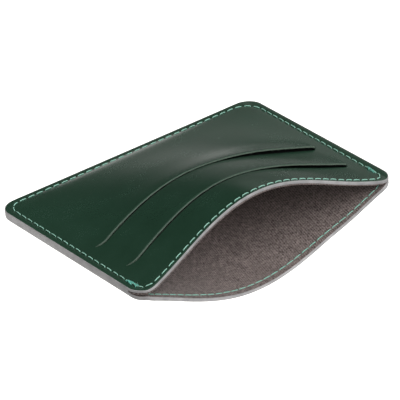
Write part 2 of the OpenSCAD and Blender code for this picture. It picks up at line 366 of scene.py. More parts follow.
ARC_POINTS = 14
ROUTE_STEP = 0.5
BACK_ROW_DROP = ((15, 35, 42, 50), (0, 0.5, 0.5, 0))   # x, and how far the back row nears the mouth
GROOVE_DEPTH, GROOVE_REACH = 0.07, 0.6
HOLE_DEPTH, HOLE_REACH = 0.09, 0.35
SEAM_ZONE = 5.0   # no seam runs further than this from the panel's outline


def arc(cx, cv, r, a0, a1):
    """Points along a rounded corner, with the angles in degrees."""
    angles = np.radians(np.linspace(a0, a1, ARC_POINTS))
    return [(cx + r * math.cos(a), cv - r * math.sin(a)) for a in angles]


def run(a, b):
    """Points along a straight stretch."""
    n = max(1, math.ceil(math.dist(a, b) / ROUTE_STEP))
    return [(a[0] + (b[0] - a[0]) * i / n, a[1] + (b[1] - a[1]) * i / n) for i in range(n + 1)]


def joined(*stretches):
    """Stretches end to end, without their doubled points."""
    route = []
    for stretch in stretches:
        route += [p for p in stretch if not route or math.dist(p, route[-1]) > 1e-4]
    return np.array(route)


def sides_route(inset, v):
    """From depth v on the left, round by the closed edge, to depth v on the right."""
    x = HALF_W - inset
    left_r, right_r = SEAM_CORNERS if inset else (CORNER_R, CORNER_R)
    left = arc(left_r - x, inset + left_r, left_r, 180, 90)
    right = arc(x - right_r, inset + right_r, right_r, 90, 0)
    start = (-x, v + (LEFT_START if inset else 0))
    end = (x - (RIGHT_DRIFT if inset else 0), v)
    return joined(run(start, left[0]), left, run(left[-1], right[0]), right, run(right[-1], end))


def mouth_route(front, inset, v, side_inset=None):
    """Along the mouth and round its corners. side_inset narrows the row to meet the side seams."""
    x, c, r = HALF_W - inset, HALF_W - CORNER_R, CORNER_R - inset
    cv = HOLDER_H - CORNER_R
    left = arc(-c, cv, r, 180, 270)
    right = arc(c, cv, r, 270, 360)
    start, end = run((-x, v), left[0]), run(right[-1], (x, v))
    route = joined(start, left, run(left[-1], right[0]), right, end)
    if side_inset is not None:
        edge = x - np.where(route[:, 0] > 0, RIGHT_DRIFT, 0) - side_inset + inset
        route[:, 0] *= edge / x
    recess = FRONT_RECESS if front else BACK_RECESS
    route[:, 1] -= dome(route[:, 0]) * recess * (route[:, 1] / HOLDER_H) ** 2
    if inset and not front:
        route[:, 1] += np.interp(route[:, 0], *BACK_ROW_DROP)
    return route


SEAMS = {
    "sides": sides_route(STITCH_INSET, SEAM_END),
    "front_mouth": mouth_route(True, MOUTH_INSET, HOLDER_H - CORNER_R, STITCH_INSET),
    "back_mouth": mouth_route(False, BACK_MOUTH_INSET, HOLDER_H - CORNER_R, STITCH_INSET),
}


def lengths(points):
    """Length along a line at each of its points."""
    return np.concatenate([[0], np.cumsum(np.linalg.norm(np.diff(points, axis=0), axis=1))])


def along_line(at, s, points):
    """The values at lengths at, of a line that has points at lengths s."""
    return np.stack([np.interp(at, s, points[:, k]) for k in range(points.shape[1])], -1)


def stitch_ends(front, route):
    """Places along a route, as [x, v], where the needle went through."""
    s = lengths(panel_point(front, route[:, 0], route[:, 1]))
    count = round(s[-1] / STITCH_PITCH)
    return along_line(np.linspace(0, s[-1], count + 1), s, route)


def nearest_square(x, v, places):
    """Square of the distance from each point to the nearest of the places."""
    nearest = np.full(x.shape, 1e9)
    for a, b in places:
        nearest = np.minimum(nearest, (x - a) ** 2 + (v - b) ** 2)
    return nearest


def seam_sink(x, v, seams, front):
    """Depth of the groove that the thread pulls into a panel, with a dimple at every hole."""
    sink = np.zeros_like(x)
    close = edge_distance(front, x, v) < SEAM_ZONE
    for seam in seams:
        route = SEAMS[seam]
        thread = nearest_square(x[close], v[close], route[::2])
        hole = nearest_square(x[close], v[close], stitch_ends(front, route))
        groove = GROOVE_DEPTH * np.exp(-thread / GROOVE_REACH**2)
        dimple = HOLE_DEPTH * np.exp(-hole / HOLE_REACH**2)
        sink[close] = np.maximum(sink[close], groove + dimple)
    return sink


# ---- Plies ----

FACE, CUT_EDGE = 0, 1     # kinds of face, which are also their material slots
# the painted highlight on each lip fades over this distance from the cut
LIP_HIGHLIGHT_REACH = 0.5


def slit_free(v0, c):
    """Which cells of a panel's grid are there, with the slits cut out."""
    middle_v = (v0[:-1, :-1] + v0[1:, 1:]) / 2
    middle_x = (c[:-1, :-1] + c[1:, 1:]) / 2 * HALF_W
    there = np.ones(middle_v.shape, bool)
    for row in SLIT_ROWS:
        in_gap = (np.abs(middle_v - row) < SLIT_GAP / 2) & (np.abs(slit_share(middle_x)) < 1)
        there &= ~in_gap
    return there


def sheet_faces(there):
    """Faces of a closed sheet over a grid's cells, and their kinds. Its upper points come first."""
    n_rows, n_cols = there.shape[0] + 1, there.shape[1] + 1
    size = n_rows * n_cols
    faces, kinds = [], []

    def put(quads, kind):
        faces.extend(quads.tolist())
        kinds.extend([kind] * len(quads))

    index = np.arange(size).reshape(n_rows, n_cols)
    a, b = index[:-1, :-1], index[:-1, 1:]
    d, e = index[1:, :-1], index[1:, 1:]
    put(np.stack([a, d, e, b], -1)[there], FACE)
    put(np.stack([a, b, e, d], -1)[there] + size, FACE)
    padded = np.pad(there, 1)
    for p, q, open_side in (
        (a, b, ~padded[:-2, 1:-1]),
        (b, e, ~padded[1:-1, 2:]),
        (e, d, ~padded[2:, 1:-1]),
        (d, a, ~padded[1:-1, :-2]),
    ):
        wall = there & open_side
        put(np.stack([p, q, q + size, p + size], -1)[wall], CUT_EDGE)
    return faces, kinds


def ply(front, rows, cols, top, thickness, surface=None, skive=None, slits=False):
    """A sheet's points, faces, kinds of face, UVs in centimetres and distances from the edge.

    The sheet lies from top to top + thickness under the panel's reference surface.
    """
    v0, c = np.meshgrid(rows, cols, indexing="ij")
    x = c * (HALF_W - corner_inset(v0))
    v = drawn_v(front, x, hooked(x, v0) if slits else v0)
    normal = up_normal(front, x, v)
    base = panel_point(front, x, v)
    lift = surface(x, v0, v) if surface else np.zeros_like(x)
    rise = lip_lift(x, v0) if slits else np.zeros_like(x)
    thin = skive(x, v0) if skive else 0
    upper = base + normal * (lift - top)[..., None]
    lower = base + normal * (rise - top - thickness + thin)[..., None]
    there = slit_free(v0, c) if slits else np.ones((len(rows) - 1, len(cols) - 1), bool)
    faces, kinds = sheet_faces(there)
    points = np.concatenate([upper.reshape(-1, 3), lower.reshape(-1, 3)])
    uv = np.tile(np.stack([x.ravel(), v0.ravel()], -1) / 10, (2, 1))
    edge = np.tile(edge_distance(front, x, v).ravel(), 2)
    return points, faces, kinds, uv, {"edge_mm": edge}


def lip_highlight(x, v):
    """Share of painted highlight just behind the raised lips' cut edges, from 0 to 1."""
    total = np.zeros_like(x)
    for row in SLIT_ROWS:
        from_cut = row - SLIT_GAP / 2 - v
        # painted highlight: paler just behind each lip's cut edge, on the closed-edge side
        painted_lip_highlight = lip_profile(x) * np.exp(-np.abs(from_cut) / LIP_HIGHLIGHT_REACH)
        total += np.where(v <= row, painted_lip_highlight, 0)
    return total


# ---- Sweeps: edge paint and thread ----

BEAD_OUT = 0.24                       # the paint stands this far out of the plies' edges
BEAD_WAVES = 7
BEAD_TURN = 30.0                      # a bead fattens from this far left to this far right
THREAD_SIDES = 9
STITCH_RINGS = 15
THREAD_R, STITCH_SHARE = 0.15, 0.72   # radius, and a stitch's share of the pitch
BURIED_R, BURIED_SHARE = 0.145, 0.84  # the same where soft suede closes round the thread
BURIED_TURN = (0.4, 0.7)              # shares of a row between which its depth changes
TWIST_LENGTH = 1.2
DIP = 0.25                            # the thread's ends go this far down into their holes
DIP_POWER = 24                        # how suddenly they do
TACK_SPAN = BACKTACK_LEN - 1.8        # where the middles of a backtack's strands lie
LEFT_TACK_R, RIGHT_TACK_R = 0.12, 0.09
LEFT_TACK_STRANDS, RIGHT_TACK_STRANDS = 17, 8


def frames_along(front, route):
    """A route's points in space, with the panel's normal and the way outwards at each."""
    line = panel_point(front, route[:, 0], route[:, 1])
    normal = up_normal(front, route[:, 0], route[:, 1])
    along = unit(np.gradient(line, axis=0))
    out = unit(np.cross(along, normal))
    centre = np.array([0, -HOLDER_H / 2, 0])
    side = np.where(np.sum((line - centre) * out * [1, 1, 0], -1) > 0, 1, -1)[:, None]
    return line, normal, out * side


def ring_faces(n_rings, n_sides):
    """Faces of a closed tube through rings of points."""
    faces = []
    for i in range(n_rings - 1):
        for k in range(n_sides):
            a, b = i * n_sides + k, i * n_sides + (k + 1) % n_sides
            faces.append([a, a + n_sides, b + n_sides, b])
    faces.append(list(range(n_sides)))
    faces.append([(n_rings - 1) * n_sides + k for k in range(n_sides - 1, -1, -1)])
    return faces


def bead_profile(first, last, lap):
    """Section of a bead over the plies from first to last, as [outwards, downwards] points."""
    thickness = last - first
    profile = [(-lap, 0.12), (-lap, -0.02), (-0.5 * lap, -0.04), (0.05, -0.02)]
    for a in np.radians(np.arange(10, 171, 10)):
        across = math.copysign(abs(math.cos(a)) ** 0.6, math.cos(a))
        out = 0.08 + (BEAD_OUT - 0.08) * math.sin(a) ** 0.45
        profile.append((out, thickness * (1 - across) / 2))
    profile += [(0.05, thickness), (-0.1, thickness)]
    return np.array(profile) + [0, first]


def edge_bead(name, node, front, route, first, last, lap, seed, fattening=0.0):
    """Smoothed edge paint with a nearly flat face, which laps a little over the sheet's top."""
    line, normal, out = frames_along(front, route)
    s = lengths(line)
    profile = bead_profile(first, last, lap)
    rng = np.random.default_rng(seed)
    waves = np.zeros_like(s)
    for _ in range(BEAD_WAVES):
        size = rng.uniform(0.3, 1)
        pace = rng.uniform(0.3, 2.5)
        waves += size / 3 * np.sin(s * pace + rng.uniform(0, 6))
    rings = []
    for i in range(len(line)):
        thick = 1 + fattening * np.clip(route[i, 0] / BEAD_TURN, -1, 1)
        swell = 1 + 0.05 * waves[i] * (profile[:, 0] > 0) + 0.12 * waves[i] * (profile[:, 0] < -0.1)
        outwards = np.outer(profile[:, 0] * swell, out[i])
        rings.append(line[i] + outwards - np.outer(profile[:, 1] * thick, normal[i]))
    faces = ring_faces(len(line), len(profile))
    return new_piece(name, np.concatenate(rings), faces, [paint], node)


def thread_tube(centres, ups, radius, turns, start):
    """A twisted three-ply thread along centres. Returns its points, faces and painted shade, darker in
    the grooves between its strands and lighter on their crests.
    """
    n = len(centres)
    along = unit(np.gradient(centres, axis=0))
    side = unit(np.cross(along, ups))
    up = unit(np.cross(side, along))
    theta = np.linspace(0, 2 * math.pi, THREAD_SIDES, endpoint=False)
    twist = start + np.linspace(0, turns * 2 * math.pi, n)[:, None]
    lobes = np.cos(3 * (theta[None] - twist / 3))
    r = (np.asarray(radius).reshape(-1, 1) * (1 + 0.09 * lobes))[..., None]
    ring = np.cos(theta)[None, :, None] * side[:, None] + np.sin(theta)[None, :, None] * up[:, None]
    points = (centres[:, None] + r * ring).reshape(-1, 3)
    # lobes shape the strands and also serve as their painted shade
    return points, ring_faces(n, THREAD_SIDES), lobes.ravel()


def stitch_row(name, node, front, route, height, face_up, seed, backtacks=(), buried=(0.0, 0.0),
               radius=THREAD_R, share=STITCH_SHARE, rise=0.08, shade=0):
    """Separate stitches that rise out of one hole, arch over and dip into the next.

    height is how far the face lies from the panel's reference surface. buried is how deep the
    stitches lie in the face at the left and at the right. shade is how much of the backtacks' darker
    teal painted shade they get, from 0 to 1.
    """
    line = panel_point(front, route[:, 0], route[:, 1])
    s = lengths(line)
    normal = up_normal(front, route[:, 0], route[:, 1]) * (1 if face_up else -1)
    count = round(s[-1] / STITCH_PITCH)
    pitch = s[-1] / count
    rng = np.random.default_rng(seed)
    points, faces, twist_shades, thread_shade_share = [], [], [], []

    def add(middle, half, lift, sideways, offset, radius, painted_shade, sunk=0.0):
        t = np.linspace(-1, 1, STITCH_RINGS)
        at = middle + t * half
        base = along_line(at, s, line)
        up = unit(along_line(at, s, normal))
        along = unit(np.gradient(base, axis=0))
        across = np.cross(along, up)
        arch = lift * (1 - t**2) + (radius + DIP) * (1 - t**DIP_POWER) - DIP - sunk
        centres = base + up * (height + arch)[:, None] + across * (sideways * t + offset)[:, None]
        tube = thread_tube(centres, up, radius * (1 - 0.25 * t**6), 2 * half / TWIST_LENGTH,
                           rng.uniform(0, 6))
        first = sum(len(q) for q in points)
        points.append(tube[0])
        faces.extend([[k + first for k in face] for face in tube[1]])
        # painted shade of the twist, darker in its grooves
        twist_shades.append(tube[2])
        # how much darker teal painted shade each point of the stitch gets
        thread_shade_share.append(np.full(len(tube[0]), painted_shade))

    for i in range(count):
        middle = (i + 0.5 + rng.uniform(-0.03, 0.03)) * pitch
        sunk = np.interp(middle / s[-1], BURIED_TURN, buried)
        lift = rise + rng.uniform(-0.03, 0.03)
        add(middle, pitch * share / 2, lift, rng.uniform(0, 0.05), 0, radius, shade, sunk)
    for centre, strand_count, tack_r in backtacks:
        for _ in range(strand_count):
            middle = centre + rng.uniform(-0.5, 0.5) * TACK_SPAN
            half = rng.uniform(0.6, 1.4)
            lift = rng.uniform(0.02, 0.5)
            sideways = rng.uniform(-0.35, 0.35)
            # backtack strands get the full darker teal painted shade
            add(middle, half, lift, sideways, rng.uniform(-0.35, 0.35), tack_r, 1)
    return new_piece(name, np.concatenate(points), faces, [mint], node,
                     values={"twist_shade": np.concatenate(twist_shades), "thread_shade_share": np.concatenate(thread_shade_share)})


FIBRE_TURNS = (0, 2.09, 4.19)   # angles of a fibre's three sides
SKEW = [0.3, 0.5, 0.81]         # a direction that fibres don't point in


def fibres(name, roots, directions, length, radius, material, seed, spread=0.5):
    """Short loose fibres, each a thin bent three-sided spike."""
    rng = np.random.default_rng(seed)
    points, faces = [], []
    for root, direction in zip(roots, directions):
        d = unit(direction + rng.normal(0, spread, 3))
        bend = rng.normal(0, 0.35, 3)
        size = length * rng.uniform(0.4, 1)
        side = unit(np.cross(d, SKEW))
        other = np.cross(d, side)
        base = len(points)
        for t, r in ((0, radius), (0.5, radius * 0.8)):
            centre = root + d * size * t + bend * size * t * t
            for a in FIBRE_TURNS:
                points.append(centre + (side * math.cos(a) + other * math.sin(a)) * r)
        points.append(root + d * size + bend * size)
        faces.append([base, base + 2, base + 1])
        for k in range(3):
            n = (k + 1) % 3
            faces.append([base + k, base + n, base + 3 + n, base + 3 + k])
            faces.append([base + 3 + k, base + 3 + n, base + 6])
    return new_piece(name, np.array(points), faces, [material])


# ---- Materials ----
# Noise scales are per metre in object space, and wave scales per centimetre over the UVs.


def srgb(r, g, b):
    """A colour given from 0 to 255 as it looks on a screen, made linear."""
    def linear(c):
        c /= 255
        return c / 12.92 if c <= 0.04045 else ((c + 0.055) / 1.055) ** 2.4
    return (linear(r), linear(g), linear(b), 1)


class Nodes:
    """The node tree of a material or a world, with short calls for the nodes used here."""

    def __init__(self, owner):
        owner.use_nodes = True
        self.owner = owner
        self.tree = owner.node_tree

    def add(self, kind, inputs=None, **settings):
        node = self.tree.nodes.new(kind)
        for key, value in settings.items():
            setattr(node, key, value)
        for key, value in (inputs or {}).items():
            self.set(node, key, value)
        return node

    def set(self, node, key, value):
        if isinstance(value, bpy.types.NodeSocket):
            self.tree.links.new(value, node.inputs[key])
        else:
            node.inputs[key].default_value = value

    def noise(self, vector, scale, detail, roughness=0.5):
        inputs = {"Vector": vector, "Scale": scale, "Detail": detail, "Roughness": roughness}
        return self.add("ShaderNodeTexNoise", inputs).outputs["Fac"]

    def math(self, operation, a, b):
        return self.add("ShaderNodeMath", {0: a, 1: b}, operation=operation).outputs[0]

    def blend(self, factor, a, b):
        """Colour a where factor is 0 and b where it is 1."""
        node = self.add("ShaderNodeMix", data_type="RGBA")
        self.set(node, 0, factor)
        self.set(node, 6, a)
        self.set(node, 7, b)
        return node.outputs[2]

    def spread(self, value, low, high, to_low=0.0, to_high=1.0):
        """The value's range from low to high stretched to another range, and clamped there."""
        inputs = {"Value": value, "From Min": low, "From Max": high, "To Min": to_low, "To Max": to_high}
        return self.add("ShaderNodeMapRange", inputs).outputs[0]

    def bump(self, height, distance, strength):
        inputs = {"Height": height, "Distance": distance, "Strength": strength}
        return self.add("ShaderNodeBump", inputs).outputs[0]

    def object_place(self):
        return self.add("ShaderNodeTexCoord").outputs["Object"]

    def uv_place(self):
        return self.add("ShaderNodeTexCoord").outputs["UV"]

    def attribute(self, name):
        return self.add("ShaderNodeAttribute", attribute_name=name).outputs["Fac"]

    def finish(self, **values):
        """Gives the shader its inputs, and returns the material."""
        shader = next(n for n in self.tree.nodes if n.type == "BSDF_PRINCIPLED")
        for key, value in values.items():
            self.set(shader, key.replace("_", " "), value)
        return self.owner


def material_nodes(name):
    """The nodes of a new material."""
    return Nodes(bpy.data.materials.new(name))


def leather_material():
    """Green leather with a fine grain, with painted highlights that make it paler just behind the slit
    lips and at its rounded edge.
    """
    n = material_nodes("green_leather")
    place = n.object_place()
    cloudy = n.noise(place, 90, 3)
    grain = n.noise(place, 2600, 3, 0.6)
    pores = n.add("ShaderNodeTexVoronoi", {"Vector": place, "Scale": 1500}).outputs["Distance"]
    tone = n.blend(n.spread(cloudy, 0.3, 0.7), srgb(31, 58, 44), srgb(36, 64, 50))
    tone = n.blend(n.spread(pores, 0.0, 0.35, 0.35, 0.0), tone, srgb(25, 48, 36))
    # painted highlight that pales the leather just behind the slit lips
    painted_lip_highlight = n.spread(n.attribute("lip_highlight"), 0.2, 1.0, 0.0, 0.35)
    # painted highlight that pales the leather within 0.7 mm of its rounded outline
    edge = n.spread(n.attribute("edge_mm"), 0.0, 0.7, 0.2, 0.0)
    # both painted highlights blend the leather towards this paler green
    tone = n.blend(n.math("MAXIMUM", painted_lip_highlight, edge), tone, srgb(70, 98, 84))
    rough = n.spread(n.math("ADD", n.math("MULTIPLY", cloudy, 0.5), n.math("MULTIPLY", grain, 0.5)),
                     0.3, 0.7, 0.25, 0.28)
    height = n.math("ADD", n.math("MULTIPLY", grain, 0.6), n.math("MULTIPLY", pores, 0.6))
    return n.finish(Base_Color=tone, Roughness=rough, Specular_IOR_Level=0.45,
                    Normal=n.bump(height, 0.00003, 0.2))


def raw_edge_material():
    """Pale fibres of the leather where it is cut."""
    n = material_nodes("cut_leather_edge")
    place = n.object_place()
    fibre = n.noise(place, 3800, 4, 0.7)
    tone = n.blend(n.spread(fibre, 0.3, 0.7), srgb(66, 86, 74), srgb(118, 134, 122))
    return n.finish(Base_Color=tone, Roughness=0.85, Normal=n.bump(fibre, 0.0002, 0.8))


def suede_material():
    """Taupe suede with a short nap and a faint slanting twill."""
    n = material_nodes("taupe_suede")
    uv = n.uv_place()
    place = n.object_place()
    turned = n.add("ShaderNodeMapping", {"Vector": uv, "Rotation": (0, 0, math.radians(-8))}).outputs[0]
    wave = {"Vector": turned, "Scale": 4.4, "Distortion": 2.6, "Detail": 2, "Detail Scale": 9}
    twill = n.add("ShaderNodeTexWave", wave).outputs["Fac"]
    nap = n.noise(place, 2300, 3, 0.7)
    tufts = n.noise(place, 1100, 3, 0.6)
    brushed = n.noise(place, 110, 3, 0.6)
    pattern = n.math("ADD", n.math("MULTIPLY", twill, 0.1), n.math("MULTIPLY", nap, 0.6))
    pattern = n.math("ADD", pattern, n.math("MULTIPLY", tufts, 0.4))
    tone = n.blend(n.spread(pattern, 0.42, 0.7), srgb(60, 52, 50), srgb(162, 148, 145))
    tone = n.blend(n.spread(brushed, 0.4, 0.65, 0, 0.25), tone, srgb(98, 88, 86))
    return n.finish(Base_Color=tone, Roughness=0.95, Specular_IOR_Level=0.15, Sheen_Weight=0.2,
                    Sheen_Roughness=0.5, Normal=n.bump(pattern, 0.0003, 0.9))


def liner_material():
    """Plain-woven pocket cloth, made near black as painted shade for the slit gaps."""
    n = material_nodes("slot_fabric")
    uv = n.uv_place()
    warp = n.add("ShaderNodeTexWave", {"Vector": uv, "Scale": 9.0}).outputs["Fac"]
    weft = n.add("ShaderNodeTexWave", {"Vector": uv, "Scale": 9.0}, bands_direction="Y").outputs["Fac"]
    weave = n.math("MULTIPLY", warp, weft)
    # painted shade: near-black tones so that the slit gaps look dark
    tone = n.blend(weave, srgb(12, 16, 14), srgb(26, 31, 29))
    return n.finish(Base_Color=tone, Roughness=0.9, Normal=n.bump(weave, 0.0001, 0.6))


def paint_material():
    """Grey edge paint, brushed on a little unevenly."""
    n = material_nodes("grey_edge_paint")
    place = n.object_place()
    cloudy = n.noise(place, 260, 3)
    specks = n.noise(place, 2400, 3, 0.7)
    tone = n.blend(n.spread(cloudy, 0.3, 0.7), srgb(143, 142, 144), srgb(178, 177, 179))
    tone = n.blend(n.spread(specks, 0.62, 0.75, 0, 0.35), tone, srgb(198, 198, 199))
    height = n.math("ADD", n.math("MULTIPLY", cloudy, 0.7), n.math("MULTIPLY", specks, 0.3))
    return n.finish(Base_Color=tone, Roughness=n.spread(cloudy, 0.3, 0.7, 0.38, 0.5),
                    Normal=n.bump(height, 0.00025, 0.5))


def thread_material():
    """Twisted mint thread, with painted shade in the grooves of its twist and a darker teal painted
    shade on the doubled backtacks and where it sinks into suede.
    """
    n = material_nodes("mint_thread")
    place = n.object_place()
    twist_shade = n.attribute("twist_shade")
    hairs = n.noise(place, 5200, 3, 0.7)
    # painted shade: darker in the twist's grooves and lighter on its crests, with random hair tone mixed
    # in
    shade = n.math("ADD", n.math("MULTIPLY", twist_shade, 0.28), hairs)
    plain = n.blend(n.spread(shade, 0.2, 0.8), srgb(104, 180, 160), srgb(190, 233, 218))
    # the darker teal painted shade of the doubled backtacks and sunken stitches
    painted_shade = n.blend(n.spread(shade, 0.2, 0.8), srgb(74, 164, 150), srgb(130, 212, 196))
    tone = n.blend(n.attribute("thread_shade_share"), plain, painted_shade)
    return n.finish(Base_Color=tone, Roughness=0.55, Sheen_Weight=0.3, Sheen_Roughness=0.4,
                    Normal=n.bump(hairs, 0.0001, 0.6))


leather = leather_material()
raw_edge = raw_edge_material()
suede = suede_material()
liner = liner_material()
paint = paint_material()
mint = thread_material()

# ---- Panels and linings ----

PUFF_CLOSED, PUFF_SIDE = 0.6, 0.15      # how much the leather swells inside its stitching
PUFF_START, PUFF_REACH = STITCH_INSET + 0.3, 5.5
EDGE_ROLL = 0.1                         # the plies' upper edges round off by this much
LEATHER_ROLL_REACH, SUEDE_ROLL_REACH = 0.2, 0.25
SUEDE_WAVE = 0.03
UPPER_POCKET = (1, SLIT_ROWS[0] + 6)    # depths from the closed edge where a pocket starts and ends
LOWER_POCKET = (10, SLIT_ROWS[1] + 6)
FRINGE_COUNT, FRINGE_INSET, FRINGE_BAND = 1500, 0.22, 0.9
LIP_FIBRE_COUNT = 520
FIBRE_R = 0.022


def puff(x, v):
    """The leather rises more steeply just inside its stitching."""
    def swell(d):
        inside = np.maximum(d - PUFF_START, 0) / PUFF_REACH
        return inside * np.exp(1 - inside)

    taper = fullness(x / BULGE_HALF, 0.9)
    return PUFF_CLOSED * swell(v) * taper + PUFF_SIDE * swell(HALF_W - np.abs(x))


def edge_roll(front, x, v, reach):
    """How much a ply's upper face rounds off towards its edge."""
    return EDGE_ROLL * np.exp(-np.maximum(edge_distance(front, x, v), 0) / reach)


def front_surface(x, v0, v):
    """Height of the front's outer face over the panel's reference surface."""
    sink = seam_sink(x, v, ("sides", "front_mouth"), True)
    roll = edge_roll(True, x, v, LEATHER_ROLL_REACH)
    return lip_lift(x, v0) - lip_droop(x, v0) - sink - roll + puff(x, v0)


def back_suede_surface(x, _, v):
    """Height of the back lining's inner face, which is a little wavy."""
    sink = seam_sink(x, v, ("back_mouth",), False)
    wave = np.sin(x * 0.9 + 2 * np.sin(v * 0.31)) * np.sin(v * 0.7 + 1.7 * np.sin(x * 0.23))
    return SUEDE_WAVE * wave - sink - edge_roll(False, x, v, SUEDE_ROLL_REACH)


def front_panel():
    """The front, with its two slits cut in it and a painted highlight along its lips."""
    rows, cols = panel_rows(0.5, True), panel_cols(0.5)
    points, faces, kinds, uv, values = ply(True, rows, cols, 0, LEATHER_T, front_surface, lip_skive,
                                           slits=True)
    v0, c = np.meshgrid(rows, cols, indexing="ij")
    x = c * (HALF_W - corner_inset(v0))
    # the painted lip highlight, kept on the mesh for the leather material
    values["lip_highlight"] = np.tile(lip_highlight(x, v0).ravel(), 2)
    new_piece("front_panel", points, faces, [leather, raw_edge], "front_leather", kinds, uv,
              values)


def back_panel():
    """The back. Its outer face is underneath, and its stitches lie in that face."""
    points, faces, kinds, uv, values = ply(False, panel_rows(0.7, False), panel_cols(0.7),
                                           LINING_T + PLY_GAP, LEATHER_T)
    # the back panel has no painted lip highlight
    values["lip_highlight"] = np.zeros(len(points))
    new_piece("back_panel", points, faces, [leather, raw_edge], "back_leather", kinds, uv,
              values)


def linings():
    """The suede inside both panels."""
    for name, node, front, step, top, surface in (
        ("back_suede", "back_lining", False, 0.5, 0, back_suede_surface),
        ("front_suede", "front_lining", True, 0.8, FRONT_T - LINING_T, None),
    ):
        points, faces, _, uv, values = ply(front, panel_rows(step, False), panel_cols(step), top,
                                           LINING_T, surface)
        new_piece(name, points, faces, [suede], node, None, uv, values)


def slot_pockets():
    """The cloth behind each slit."""
    rows, cols = panel_rows(0.9, True), panel_cols(0.9)
    upper_top = LEATHER_T + PLY_GAP
    lower_top = upper_top + LINER_T + PLY_GAP
    for name, node, top, (first, last) in (
        ("upper_slot_pocket", "upper_slot_liner", upper_top, UPPER_POCKET),
        ("lower_slot_pocket", "lower_slot_liner", lower_top, LOWER_POCKET),
    ):
        own_rows = rows[(rows >= first) & (rows <= last)]
        points, faces, _, uv, values = ply(True, own_rows, cols, top, LINER_T)
        new_piece(name, points, faces, [liner], node, None, uv, values)


def nap_fringe():
    """Fibres that stand out of the linings' cut edges along the mouth."""
    rng = np.random.default_rng(11)
    for name, front, depth, seed in (("front_suede_fringe", True, FRONT_T, 6),
                                     ("back_suede_fringe", False, 0.0, 5)):
        route = mouth_route(front, FRINGE_INSET, HOLDER_H - 0.5 * CORNER_R)
        line = panel_point(front, route[:, 0], route[:, 1])
        normal = up_normal(front, route[:, 0], route[:, 1])
        s = lengths(line)
        at = rng.uniform(4, s[-1] - 4, FRINGE_COUNT)
        up = unit(along_line(at, s, normal))
        inwards = np.array([0, 1, 0]) * rng.uniform(0, FRINGE_BAND, (FRINGE_COUNT, 1))
        roots = along_line(at, s, line) - up * depth + inwards
        towards = (-up if front else up) * 0.7 - [0, 0.9, 0]
        fibres(name, roots, towards, 0.42, FIBRE_R, suede, seed)


def lip_fibres():
    """Loose leather fibres on the underside of each slit's lip."""
    rng = np.random.default_rng(23)
    roots, directions = [], []
    reach = SLIT_LEN / 2 - 1.5
    for row in SLIT_ROWS:
        x = rng.uniform(-reach, reach, LIP_FIBRE_COUNT) - SLIT_SHIFT
        v0 = np.full_like(x, row - SLIT_GAP / 2)
        v = drawn_v(True, x, hooked(x, v0))
        height = lip_lift(x, v0) - LEATHER_T + LIP_SKIVE + rng.uniform(0, 0.25, x.shape)
        roots.append(above(True, x, v, height))
        directions.append(-up_normal(True, x, v) * 0.6 - [0, 0.8, 0])
    fibres("lip_fibres", np.concatenate(roots), np.concatenate(directions), 0.4, FIBRE_R,
           raw_edge, 31)


# ---- Stitching and edge paint ----

FRAY_COUNT = 9


def stitching():
    """Every seam's thread on both faces. Suede takes the thread in deeper than leather."""
    sides, front, back = SEAMS["sides"], SEAMS["front_mouth"], SEAMS["back_mouth"]
    end = lengths(panel_point(True, sides[:, 0], sides[:, 1]))[-1]
    backtacks = ((BACKTACK_LEN * 0.42, LEFT_TACK_STRANDS, LEFT_TACK_R),
                 (end - BACKTACK_LEN * 0.5, RIGHT_TACK_STRANDS, RIGHT_TACK_R))
    stitch_row("perimeter_stitches_top", "perimeter_needle_thread", True, sides, 0, True, 41, backtacks)
    stitch_row("perimeter_stitches_bottom", "perimeter_bobbin_thread", False, sides, BACK_T, False, 42,
               buried=(0.1, 0.1))
    stitch_row("front_mouth_stitches_top", "front_mouth_needle_thread", True, front, 0, True, 43)
    stitch_row("front_mouth_stitches_inside", "front_mouth_bobbin_thread", True, front, FRONT_T, False,
               44, buried=(0.08, 0.08))
    stitch_row("back_mouth_stitches_bottom", "back_mouth_needle_thread", False, back, BACK_T, False, 45,
               buried=(0.05, 0.05))
    # these stitches get some painted shade where they sink into the suede
    stitch_row("back_mouth_stitches_inside", "back_mouth_bobbin_thread", False, back, 0, True, 46,
               buried=(0.14, 0.03), radius=BURIED_R, share=BURIED_SHARE, rise=0.05, shade=0.3)


def frayed_ends():
    """Loose ends of the thread at the two backtacks."""
    roots, directions = [], []
    seam_x = HALF_W - STITCH_INSET
    for side, x, v in ((-1, -seam_x, SEAM_END - 0.6), (1, seam_x - RIGHT_DRIFT, SEAM_END - 3)):
        for k in range(FRAY_COUNT):
            roots.append(above(True, np.array(x), np.array(v + 0.12 * k), 0.3))
            directions.append([-side * 0.8, -0.1, 0.5])
    fibres("backtack_frays", roots, np.array(directions), 1.3, 0.035, mint, 61, 0.3)


def edge_painting():
    """The paint on the joined plies, and on each panel's own mouth edge."""
    edge_bead("perimeter_edge_bead", "perimeter_edge_paint", True,
              sides_route(0, SPLIT_V + 0.4), first=0.05, last=SEAM_T, lap=0.06, seed=51)
    edge_bead("front_mouth_edge_bead", "front_mouth_edge_paint", True,
              mouth_route(True, 0, SPLIT_V), first=0.08, last=0.92, lap=0.05, seed=52,
              fattening=0.15)
    edge_bead("back_mouth_edge_bead", "back_mouth_edge_paint", False,
              mouth_route(False, 0, SPLIT_V), first=0.1, last=BACK_T, lap=0.05, seed=53)


front_panel()
back_panel()
linings()
slot_pockets()
nap_fringe()
lip_fibres()
stitching()
frayed_ends()
edge_painting()

# ---- Studio: a pale table under soft overhead and front light, darker behind ----

